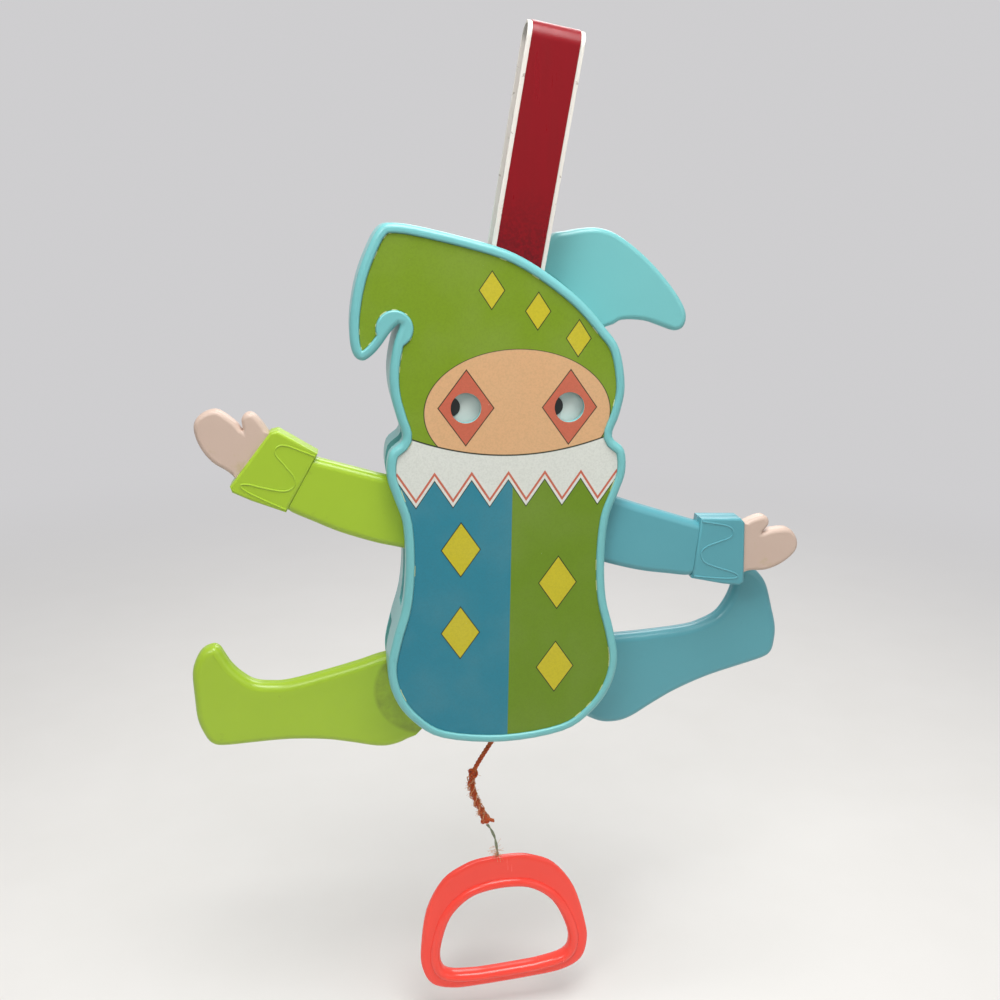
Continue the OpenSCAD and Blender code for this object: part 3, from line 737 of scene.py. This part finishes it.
# %% Case
RIM, HORN_FRONT, PARTING, BACK = -1.2, 25.1, 33.6, 36.1
OUTER_WALL, RIM_ROUND, RIM_BREAK, BACK_ROUND, PARTING_BREAK = 4, 2.6, 1.0, 2, 0.35
FRONT_RULES = [
    (RIM, RIM_ROUND, 6, lambda edge: wall_depth(edge) > OUTER_WALL),
    (RIM, RIM_BREAK, 3, lambda edge: wall_depth(edge) < OUTER_WALL),
    (PARTING, PARTING_BREAK, 2),
]
BACK_RULES = [(HORN_FRONT, RIM_ROUND, 5), (BACK, BACK_ROUND, 4), (PARTING, PARTING_BREAK, 2)]
for name, rules in (("front", FRONT_RULES), ("back", BACK_RULES)):
    mesh = softened(name + "_shell", rules)
    piece_of("case_" + name, mesh, "case", "shell_turquoise", shell_plastic, [name + "_shell"])

# %% [markdown]
# Arms and legs are each moulded in two halves. Their faces have generous rounds and a fine line
# shows round the middle where the halves meet. The hands are softer mouldings held in the cuffs.
# Places on an arm are given along it and across it, in shares of its length.

# %% Places on the limbs
ARM_FRONT, ARM_MID, ARM_BACK, CUFF = 7, 12, 17, 0.8
LEG_FRONT, LEG_MID, LEG_BACK, HIDDEN_X = 22, 27, 32, 44
ARM_L, CUFF_GAP = 118, 0.5
ARMS = {"left": (-1, math.radians(ARM_ANGLES[0])), "right": (1, math.radians(ARM_ANGLES[1]))}
CUFF_TOP = (Vector((0.725, 0.165)), Vector((0.53, 0.14)))
CUFF_LOW = (Vector((0.81, -0.085)), Vector((0.578, -0.122)))


def on_arm(side, angle, u, v, depth):
    """A place on an arm at a depth."""
    x = (u * math.cos(angle) - v * math.sin(angle)) * ARM_L
    z = (u * math.sin(angle) + v * math.cos(angle)) * ARM_L
    return place(side * (SHOULDER_X + x), depth, SHOULDER_Z + z)


def beside_cuff(middle, side, angle):
    """Whether a place lies on the line where the hand comes out of the cuff."""
    x, z = side * middle.x - SHOULDER_X, middle.z - SHOULDER_Z
    u = x * math.cos(angle) + z * math.sin(angle)
    v = z * math.cos(angle) - x * math.sin(angle)
    start, end = CUFF_TOP[0] * ARM_L, CUFF_LOW[0] * ARM_L
    way = end - start
    return abs((Vector((u, v)) - start).cross(way)) / way.length < CUFF_GAP


def inside_case(middle):
    """Whether a place on a leg is hidden in the case, where its narrow end keeps its edges."""
    return abs(middle.x) < HIDDEN_X


print("The cuffs end at", [round(v, 3) for v in on_arm(*ARMS["left"], *CUFF_TOP[0], ARM_FRONT)])

# %% Limbs
ARM_ROUND, CUFF_ROUND, LEG_ROUND, HAND_ROUND, HAND_SET, SEAM = 3.6, 1.4, 4, 2.2, 1, 0.25
SIDES = {"left": ("limb_lime", lime_plastic), "right": ("limb_turquoise", limb_plastic)}
ARM_HALVES = {"_front": (ARM_FRONT, ARM_FRONT - CUFF), "_back": (ARM_BACK, ARM_BACK + CUFF)}
LEG_HALVES = {"_front": LEG_FRONT, "_back": LEG_BACK}
HAND_RULES = [(ARM_FRONT + HAND_SET, HAND_ROUND, 5), (ARM_BACK - HAND_SET, HAND_ROUND, 5)]
for side, (slot, finish) in SIDES.items():
    arm, leg, hand = side + "_arm", side + "_leg", side + "_hand"
    for half, (face, cuff) in ARM_HALVES.items():
        rules = [(face, ARM_ROUND, 7), (cuff, CUFF_ROUND, 4), (ARM_MID, SEAM, 1)]
        mesh = softened(arm + half, rules)
        piece_of(arm + half + "_moulding", mesh, arm, slot, finish, [arm + half])
    for half, face in LEG_HALVES.items():
        mesh = softened(leg + half, [(face, LEG_ROUND, 8), (LEG_MID, SEAM, 1)], inside_case)
        piece_of(leg + half + "_moulding", mesh, leg, slot, finish, [leg + half])
    mesh = softened(hand, HAND_RULES, lambda middle: beside_cuff(middle, *ARMS[side]))
    piece_of(hand + "_moulding", mesh, arm, "hand_pink", hand_plastic, [hand])

# %% [markdown]
# A thin raised line waves over each cuff: in from the sleeve's side along the top, back in a bow,
# in again and out along the bottom. Its points are shares of the way from the hand to the sleeve
# and from the top to the bottom of the cuff. It is a half round bead, so a rod sunk into the face
# makes it.

# %% Cuff beads
WAVE_SHARES = [
    (0.97, 0.05), (0.62, 0.06), (0.38, 0.08), (0.27, 0.15), (0.32, 0.26),
    (0.58, 0.36), (0.82, 0.46), (0.9, 0.58), (0.8, 0.71), (0.5, 0.79),
    (0.24, 0.84), (0.13, 0.9), (0.24, 0.95), (0.6, 0.96), (0.97, 0.955),
]
BEAD_R, BEAD_SUNK, WAVE_STEPS = 0.5, 0.15, 5


def on_cuff(back, down):
    """A place on the cuff's face, in shares of the arm's length."""
    top, low = CUFF_TOP[0].lerp(CUFF_TOP[1], back), CUFF_LOW[0].lerp(CUFF_LOW[1], back)
    return top.lerp(low, down)


for side, (slot, finish) in SIDES.items():
    name, lines = side + "_cuff_bead", []
    for depth in (ARM_FRONT - CUFF + BEAD_SUNK, ARM_BACK + CUFF - BEAD_SUNK):
        wave = [on_arm(*ARMS[side], *on_cuff(*share), depth) for share in WAVE_SHARES]
        lines.append(curve_through(wave, WAVE_STEPS))
    piece_of(name, rods(name, lines, BEAD_R, sides=2), side + "_arm", slot, finish)
    print(name, "has", len(lines), "waves of", len(lines[0]), "points")

# %% [markdown]
# The strap's loop is welded flat from a white core and two red facings; only its corners need
# breaking.

# %% Strap
STRAP_BREAK = 0.15
for node, name, slot, finish in (
    ("strap_core", "strap_white_core", "strap_vinyl_white", white_vinyl),
    ("strap_facing", "strap_red_facing", "strap_vinyl_red", red_vinyl),
):
    piece_of(name, softened(node, [(None, STRAP_BREAK, 2)]), "case", slot, finish, [node])

# %% [markdown]
# The ring is a moulding with a flat web, thinner than the round bead that runs round its hole. The
# web is the CAD ring made thinner about its middle and rounded; the bead is a rod along the hole's
# outline, set a little outwards and made deeper than it is wide.

# %% Ring's web
RING_W, RING_H, RING_HALF_T, RING_ROUND = 94, 81, 4.5, 3
WEB_SHARE, BEAD_OFFSET, RING_BEAD_R, BEAD_TALL = 0.46, 2.7, 3.1, 1.4
RING_FACES = (CORD_DEPTH - RING_HALF_T, CORD_DEPTH + RING_HALF_T)


def deepened(mesh, share):
    """Scale a mesh in depth about the middle of the ring."""
    there = Matrix.Translation((0, place(0, CORD_DEPTH, 0).y, 0))
    mesh.transform(there @ Matrix.Scale(share, 4, (0, 1, 0)) @ there.inverted())
    return mesh


web = deepened(softened("pull_ring", [(face, RING_ROUND, 5) for face in RING_FACES]), WEB_SHARE)
piece_of("pull_ring_web", web, "pull", "ring_red", ring_plastic, ["pull_ring"])

# %% Ring's bead
RING_TOP, RING_TILT, HOLE_STEPS = (0.025 * RING_DROP, -RING_DROP), math.radians(-5), 4
HOLE_SHARES = [
    (0.07, -0.235), (0.19, -0.275), (0.305, -0.4), (0.375, -0.6),
    (0.39, -0.75), (0.345, -0.845), (0.2, -0.878), (0.08, -0.883),
]
hole = [(-x, z) for x, z in reversed(HOLE_SHARES)] + HOLE_SHARES
hole = [Vector((x * RING_W, 0, z * RING_H)) for x, z in hole]
hole = curve_through(hole, HOLE_STEPS, closed=True)
centre = sum(hole, Vector()) / len(hole)
bead = []
for i, spot in enumerate(hole):
    way = (hole[(i + 1) % len(hole)] - hole[i - 1]).normalized()
    out = Vector((way.z, 0, -way.x))
    spot = spot + (out if out.dot(spot - centre) > 0 else -out) * BEAD_OFFSET
    x = spot.x * math.cos(RING_TILT) + spot.z * math.sin(RING_TILT)
    z = spot.z * math.cos(RING_TILT) - spot.x * math.sin(RING_TILT)
    bead.append(place(RING_TOP[0] + x, CORD_DEPTH, RING_TOP[1] + z))
round_bead = rods("pull_ring_bead", [bead], RING_BEAD_R, sides=6, closed=True)
piece_of("pull_ring_bead", deepened(round_bead, BEAD_TALL), "pull", "ring_red", ring_plastic)
print("Ring's bead:", len(bead), "points")

# %% [markdown]
# ## The printed label
# The label is printed card. Its print is flat colour fields with fine dark key lines: a green cap,
# a rounded peach field, a pointed white collar and a body in two halves, with plain lozenges on
# them. The cap's green and the body's green are one ink, painted lighter on the cap as painted
# light from above and darker on the body as painted shade. All edges come from simple sums on the
# place of a point, so they stay sharp at any size.
# Lengths are measured from the bottom of the case.

# %% Print fields
KEY_LINE, EDGE = "#20261A", 0.12
card_print, tree, shader, where = new_finish("offset_printed_card")
spot = add(
    tree, "ShaderNodeVectorMath", {0: where, 1: [1 / MM] * 3, 2: HANG}, operation="MULTIPLY_ADD"
)
across = add(tree, "ShaderNodeSeparateXYZ", {"Vector": spot}, out="X")
high = across.node.outputs["Z"]


def lozenges(places, half_w, half_h):
    """The nearest lozenge's field: 1 on its edge and less inside."""
    field = None
    for x, z in places:
        offset = add(tree, "ShaderNodeVectorMath", {0: spot, 1: (x, 0, z)}, operation="SUBTRACT")
        size = add(tree, "ShaderNodeVectorMath", {0: offset}, operation="ABSOLUTE")
        this = add(
            tree,
            "ShaderNodeVectorMath",
            {0: size, 1: (1 / half_w, 0, 1 / half_h)},
            operation="DOT_PRODUCT",
        )
        if field:
            this = add(tree, "ShaderNodeMath", {0: field, 1: this}, operation="MINIMUM")
        field = this
    return field


def printed(under, ink, field, edge, soft, line=0):
    """Ink where a field is below an edge, with a key line of some width round it."""
    if line:
        under = printed(under, KEY_LINE, field, edge + line, soft)
    mask = add(
        tree,
        "ShaderNodeMapRange",
        {
            "Value": field,
            "From Min": edge - soft,
            "From Max": edge + soft,
            "To Min": 1,
            "To Max": 0,
        },
    )
    return add(tree, "ShaderNodeMix", {"Factor": mask, "A": under, "B": linear(ink)}, **COLOURS)


# %% Body, cap and peach field
# The cap's green and the body's green are one ink: the cap's is painted lighter, as painted light
# from above, and the body's darker, as painted shade.
GREEN_BODY_SHADED, BLUE_BODY, GREEN_CAP_LIT, PEACH = "#6C8C20", "#2F8296", "#7A9820", "#DCAE80"
WHITE, CORAL, YELLOW = "#DDE0D8", "#C8664F", "#CABD2E"
HALVES_X, CAP_FOOT = 2, 148
OVAL_X, OVAL_Z, OVAL_W, OVAL_H = 4, 167, 43, 29
WINDOWS = [(-20.1, 169.5), (27.9, 169.5)]
ink = printed(linear(GREEN_BODY_SHADED), BLUE_BODY, across, HALVES_X, EDGE)
below_cap = add(tree, "ShaderNodeMath", {0: CAP_FOOT, 1: high}, operation="SUBTRACT")
# Above the collar the cap is printed green over both halves, in the lighter copy of the green,
# which is painted light.
ink = printed(ink, GREEN_CAP_LIT, below_cap, 0, EDGE)
oval = add(
    tree,
    "ShaderNodeVectorMath",
    {0: spot, 1: (1 / OVAL_W, 0, 1 / OVAL_H), 2: (-OVAL_X / OVAL_W, 0, -OVAL_Z / OVAL_H)},
    operation="MULTIPLY_ADD",
)
oval = add(tree, "ShaderNodeVectorMath", {0: oval, 1: oval}, operation="MULTIPLY")
oval = add(tree, "ShaderNodeVectorMath", {0: oval, 1: (1, 0, 1)}, operation="DOT_PRODUCT")
ink = printed(ink, PEACH, oval, 1, 0.006, 0.02)
ink = printed(ink, CORAL, lozenges(WINDOWS, 12.5, 17), 1, 0.01, 0.045)
print("Print nodes so far:", len(tree.nodes))

# %% [markdown]
# The collar lies between a row of points below and a shallow arch above. Coral piping runs along
# its points. Yellow lozenges in two sizes finish the body and the cap.

# %% Collar and lozenges
POINT_W, POINT_SLOPE, POINTS_Z = 8.6, -1.5, 136
ARCH_BEND, ARCH_Z = 0.004, 147
PIPING_IN, PIPING_HALF_W = 3, 0.9
BODY_LOZENGES = [(-22, 102), (25, 84), (-22, 60), (25, 40)]
CAP_LOZENGES = [(31, 201), (12, 213), (-9, 222)]
lower = add(tree, "ShaderNodeMath", {0: across, 1: POINT_W}, operation="PINGPONG")
lower = add(
    tree, "ShaderNodeMath", {0: lower, 1: POINT_SLOPE, 2: POINTS_Z}, operation="MULTIPLY_ADD"
)
upper = add(tree, "ShaderNodeMath", {0: across, 1: across}, operation="MULTIPLY")
upper = add(tree, "ShaderNodeMath", {0: upper, 1: ARCH_BEND, 2: ARCH_Z}, operation="MULTIPLY_ADD")
under_lower = add(tree, "ShaderNodeMath", {0: lower, 1: high}, operation="SUBTRACT")
over_upper = add(tree, "ShaderNodeMath", {0: high, 1: upper}, operation="SUBTRACT")
collar = add(tree, "ShaderNodeMath", {0: under_lower, 1: over_upper}, operation="MAXIMUM")
ink = printed(ink, WHITE, collar, 0, EDGE, 0.7)
piping = add(tree, "ShaderNodeMath", {0: under_lower, 1: PIPING_IN}, operation="ADD")
piping = add(tree, "ShaderNodeMath", {0: piping}, operation="ABSOLUTE")
ink = printed(ink, CORAL, piping, PIPING_HALF_W, EDGE)
ink = printed(ink, YELLOW, lozenges(BODY_LOZENGES, 9, 13), 1, 0.012, 0.06)
ink = printed(ink, YELLOW, lozenges(CAP_LOZENGES, 5.5, 8), 1, 0.02, 0.09)
print("Lozenges:", len(BODY_LOZENGES) + len(CAP_LOZENGES))

# %% [markdown]
# Old print has faded a little in clouds, shows the grain of its screen, has fine specks where ink
# came away, and shows white card at its cut edge. A thin varnish gives it a low gloss.

# %% Age of the print
FADING, SCREEN, CHIP, SCREEN_DEPTH = 25, 0.8, 3, 0.2
fading = add(tree, "ShaderNodeTexNoise", {"Vector": where, "Scale": per_mm(FADING), "Detail": 4})
dots = add(tree, "ShaderNodeTexNoise", {"Vector": where, "Scale": per_mm(SCREEN), "Detail": 2})
chips = add(
    tree,
    "ShaderNodeTexNoise",
    {"Vector": where, "Scale": per_mm(CHIP), "Detail": 6, "Roughness": 0.75},
)
facing = add(tree, "ShaderNodeNewGeometry", {}, out="Normal")
facing = add(tree, "ShaderNodeSeparateXYZ", {"Vector": facing}, out="Y")
for value, low, top, most, colour in (
    (fading, 0.4, 0.8, 0.06, "#C8C8A8"),
    (dots, 0.4, 0.7, 0.1, "#3A4420"),
    (chips, 0.71, 0.73, 0.8, "#DAD8C8"),
    (facing, -0.8, -0.6, 1, "#D8D6C8"),
):
    mask = add(
        tree,
        "ShaderNodeMapRange",
        {"Value": value, "From Min": low, "From Max": top, "To Max": most},
    )
    ink = add(tree, "ShaderNodeMix", {"Factor": mask, "A": ink, "B": linear(colour)}, **COLOURS)
sheen = add(tree, "ShaderNodeMapRange", {"Value": fading, "To Min": 0.36, "To Max": 0.58})
grain = add(
    tree, "ShaderNodeBump", {"Height": dots, "Strength": 0.06, "Distance": SCREEN_DEPTH * MM}
)
join(tree, shader, {"Base Color": ink, "Roughness": sheen, "Normal": grain})
join(tree, shader, {"Specular IOR Level": 0.3})
print("Print nodes:", len(tree.nodes))

# %% [markdown]
# Along its cut edge the label has lost bits of ink, and the bare card shows as small cream flecks.
# Each is a short bead on the edge, at places drawn from the fixed seed. The windows' edges are
# clean.

# %% Worn edge of the label
FLECK_SHARE, FLECK_R, FUZZ, WINDOW_CLEAR = 0.17, 0.24, 0.7, 9
card, tree, shader, where = new_finish("bare_card_edge")
fuzz = add(tree, "ShaderNodeTexNoise", {"Vector": where, "Scale": per_mm(FUZZ), "Detail": 3})
tone = add(
    tree,
    "ShaderNodeMix",
    {"Factor": fuzz, "A": linear("#D9DDB8"), "B": linear("#B8C47C")},
    **COLOURS,
)
join(tree, shader, {"Base Color": tone, "Roughness": 0.85})
work = bmesh.new()
work.from_mesh(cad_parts["front_label"].data)
bmesh.ops.remove_doubles(work, verts=work.verts, dist=MERGE_M)
cut_edge = [e for e in work.edges if len(e.link_faces) == 2 and borders(e, 0)]
cut_edge = [[v.co.copy() for v in e.verts] for e in cut_edge]
work.free()
windows = [place(x, 0, z) for x, z in WINDOWS]
cut_edge = [e for e in cut_edge if min((e[0] - w).length for w in windows) > WINDOW_CLEAR * MM]
flecks = [e for e in cut_edge if draw.random() < FLECK_SHARE]
worn_edge = rods("label_worn_edge", flecks, FLECK_R, sides=1)
piece_of("label_worn_edge", worn_edge, "case", "label_card", card)
print("Flecks:", len(flecks), "of", len(cut_edge), "edges")

# %% [markdown]
# ## Parts that keep their CAD shape
# The label, the eyes, the pins and the works inside keep their solids and only take a finish.

# %% Finishes of the other parts
WASHERS, GUIDES = ["shoulder_washers", "hip_washers"], ["upper_bar_guide", "lower_bar_guide"]
KEPT = {
    card_print: ["front_label"],
    inner_plastic: [*WASHERS, *GUIDES, "pull_bar", "arm_yoke", "leg_yoke"],
    eye_plastic: ["eye_plate"],
    pupil_ink: ["eye_pupils"],
    eyelet_brass: ["cord_eyelet"],
    cord_twine: ["pull_cord_inner", "bar_knot"],
    pin_steel: ["case_screws", "yoke_rivets"] + [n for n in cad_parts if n.endswith("_pin")],
}
for finish, nodes in KEPT.items():
    for node in nodes:
        for place_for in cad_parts[node].material_slots:
            place_for.material = finish
print("Steel parts:", len(KEPT[pin_steel]))

# %% [markdown]
# ## Stage and light
# A pale floor lies under the ring and runs back into a pale sky: with distance its paint turns
# black and its glow, which only the camera and reflections see, turns to the sky's level.

# %% Floor's paint
SKY, SKY_SEEN, SKY_LIGHT, NEAR_GLOW = "#F2F1F3", 0.7, 0.39, 0.08
MOTTLE, FADE_M = 60, (0.5, 1.5)


def eye_rays(tree):
    """1 for rays from the camera or a reflection, and 0 for rays that gather light."""
    rays = add(tree, "ShaderNodeLightPath", {}).node.outputs
    return add(
        tree,
        "ShaderNodeMath",
        {0: rays["Is Camera Ray"], 1: rays["Is Glossy Ray"]},
        operation="MAXIMUM",
    )


floor_paint, tree, shader, where = new_finish("painted_board_pale")
mottle = add(tree, "ShaderNodeTexNoise", {"Vector": where, "Scale": per_mm(MOTTLE), "Detail": 4})
tone = add(
    tree,
    "ShaderNodeMix",
    {"Factor": mottle, "A": linear("#DAD8D3"), "B": linear("#E0DEDA")},
    **COLOURS,
)
far = add(tree, "ShaderNodeVectorMath", {0: where}, operation="LENGTH")
far = add(
    tree,
    "ShaderNodeMapRange",
    {"Value": far, "From Min": FADE_M[0], "From Max": FADE_M[1]},
    interpolation_type="SMOOTHSTEP",
)
tone = add(tree, "ShaderNodeMix", {"Factor": far, "A": tone, "B": linear("#000000")}, **COLOURS)
glow = add(tree, "ShaderNodeMapRange", {"Value": far, "To Min": NEAR_GLOW, "To Max": SKY_SEEN})
glow = add(tree, "ShaderNodeMath", {0: eye_rays(tree), 1: glow}, operation="MULTIPLY")
join(tree, shader, {"Base Color": tone, "Emission Color": linear(SKY), "Emission Strength": glow})
join(tree, shader, {"Roughness": 0.6, "Specular IOR Level": 0})
print("Floor's paint:", len(tree.nodes), "nodes")

# %% Floor
FLOOR_Z, FLOOR_R_M = cad_box[0].z - 18 * MM, 8
work = bmesh.new()
down = Matrix.Translation((0, 0, FLOOR_Z))
bmesh.ops.create_circle(work, cap_ends=True, segments=64, radius=FLOOR_R_M, matrix=down)
mesh = bpy.data.meshes.new("floor")
work.to_mesh(mesh)
work.free()
mesh.materials.append(floor_paint)
floor = linked("floor", mesh)
print("Floor at", round(FLOOR_Z, 4))

# %% [markdown]
# Soft lamps from the left, the right, above and behind, with an even sky, light the toy at a plain
# level. Each lamp has a place and a size in metres and a power in watts.

# %% Lamps and sky
LAMPS = (
    ("key", (-0.6, -0.8, 0.5), 0.45, 3.7),
    ("fill", (0.75, -0.65, 0.05), 0.7, 1.2),
    ("top", (0.0, -0.25, 0.55), 0.5, 7.2),
    ("rear", (0.3, 0.9, 0.5), 0.6, 5),
)
for name, spot, size, power in LAMPS:
    lamp = linked(name, bpy.data.lights.new(name, "AREA"))
    lamp.data.size = size
    lamp.data.energy = power
    lamp.location = spot
    lamp.rotation_euler = (AIM - Vector(spot)).to_track_quat("-Z", "Y").to_euler()
scene.world = scene.world or bpy.data.worlds.new("sky")
scene.world.use_nodes = True
tree = scene.world.node_tree
strength = add(
    tree, "ShaderNodeMapRange", {"Value": eye_rays(tree), "To Min": SKY_LIGHT, "To Max": SKY_SEEN}
)
join(tree, tree.nodes["Background"], {"Color": linear(SKY), "Strength": strength})
print("Lamps:", len(LAMPS))
